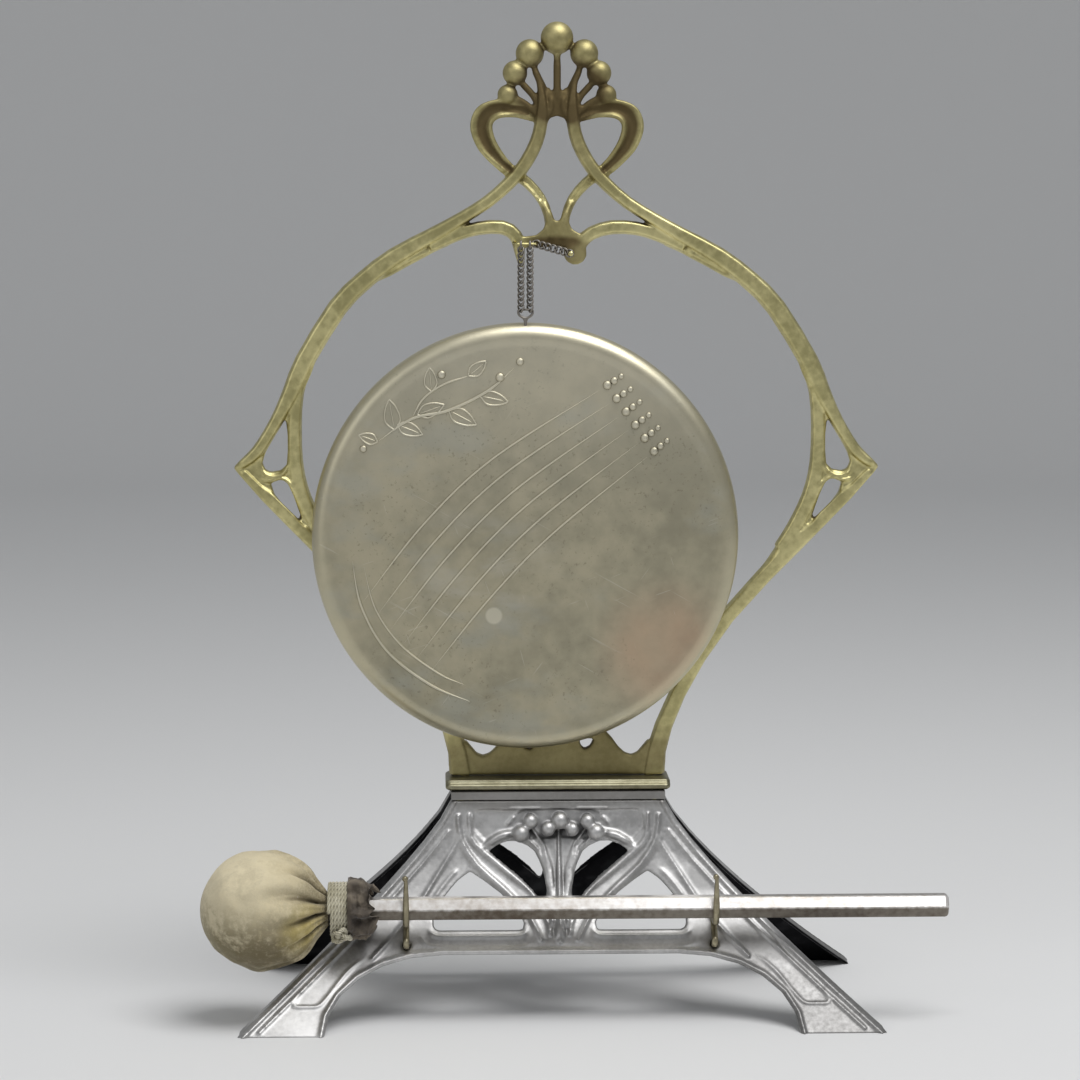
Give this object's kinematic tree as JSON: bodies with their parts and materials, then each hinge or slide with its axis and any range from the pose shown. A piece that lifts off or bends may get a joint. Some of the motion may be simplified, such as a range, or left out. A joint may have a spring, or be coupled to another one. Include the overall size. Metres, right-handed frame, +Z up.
{
  "type": "table gong with mallet",
  "caption": "Small table gong hung on a short chain in a cast brass whiplash hoop on a pierced arched base, with a leather-headed mallet in two hooks.",
  "frame": {"origin": "middle of the part's bounding box, on the surface it stands on", "axes": "+X to the right seen from the front, +Y to the back, +Z up; the gong and the mallet are at the front, towards -Y"},
  "size_m": [0.2616, 0.1268, 0.3485],
  "materials": {
    "brass": "aged cast brass",
    "silvered_metal": "worn silver plate, toned dark in the hollows",
    "steel": "dulled wire",
    "gong_brass": "satin turned brass, lightly tarnished",
    "handle_silver": "worn silver plate",
    "felt": "pressed felt",
    "chamois": "soft chamois leather",
    "string": "twisted cotton string",
    "ruffle_leather": "dark leather edge"
  },
  "bodies": {
    "stand": {"base_front_panel": "silvered_metal", "base_back_panel": "silvered_metal", "base_top_plate": "silvered_metal", "foot_bar": "brass", "gong_frame": "brass", "frame_screw_1": "brass", "frame_screw_2": "brass", "panel_screw_1": "brass", "panel_screw_2": "brass", "panel_screw_3": "brass", "panel_screw_4": "brass", "chain_hanger": "brass", "chain_peg": "brass", "bridge_link_1": "steel", "bridge_link_2": "steel", "bridge_link_3": "steel", "bridge_link_4": "steel", "bridge_link_5": "steel", "bridge_link_6": "steel", "bridge_link_7": "steel", "mallet_hook_left": "brass", "mallet_hook_right": "brass", "hook_nut_1": "brass", "hook_nut_2": "brass"},
    "chain": {"left_strand_link_1": "steel", "left_strand_link_2": "steel", "left_strand_link_3": "steel", "left_strand_link_4": "steel", "left_strand_link_5": "steel", "left_strand_link_6": "steel", "left_strand_link_7": "steel", "left_strand_link_8": "steel", "left_strand_link_9": "steel", "left_strand_link_10": "steel", "left_strand_link_11": "steel", "left_strand_link_12": "steel", "right_strand_link_1": "steel", "right_strand_link_2": "steel", "right_strand_link_3": "steel", "right_strand_link_4": "steel", "right_strand_link_5": "steel", "right_strand_link_6": "steel", "right_strand_link_7": "steel", "right_strand_link_8": "steel", "right_strand_link_9": "steel", "right_strand_link_10": "steel", "right_strand_link_11": "steel", "right_strand_link_12": "steel"},
    "gong": {"gong_disc": "gong_brass", "gong_eye": "steel"},
    "mallet": {"mallet_handle": "handle_silver", "mallet_core": "felt", "mallet_cover": "chamois", "mallet_tie": "string", "mallet_knot": "string", "mallet_ruffle": "ruffle_leather"}
  },
  "joints": [
    {"name": "chain_swing", "type": "hinge", "parent": "stand", "child": "chain", "pos_m": [-0.01635, -0.01291, 0.27075], "axis": [-1, 0, 0], "range_deg": [0, 20]},
    {"name": "gong_tilt", "type": "hinge", "parent": "chain", "child": "gong", "pos_m": [-0.01635, -0.01291, 0.2478], "axis": [-1, 0, 0], "range_deg": [0, 12]},
    {"name": "mallet_lift", "type": "slide", "parent": "stand", "child": "mallet", "axis": [0, 0, 1], "range_m": [0, 0.04]}
  ]
}
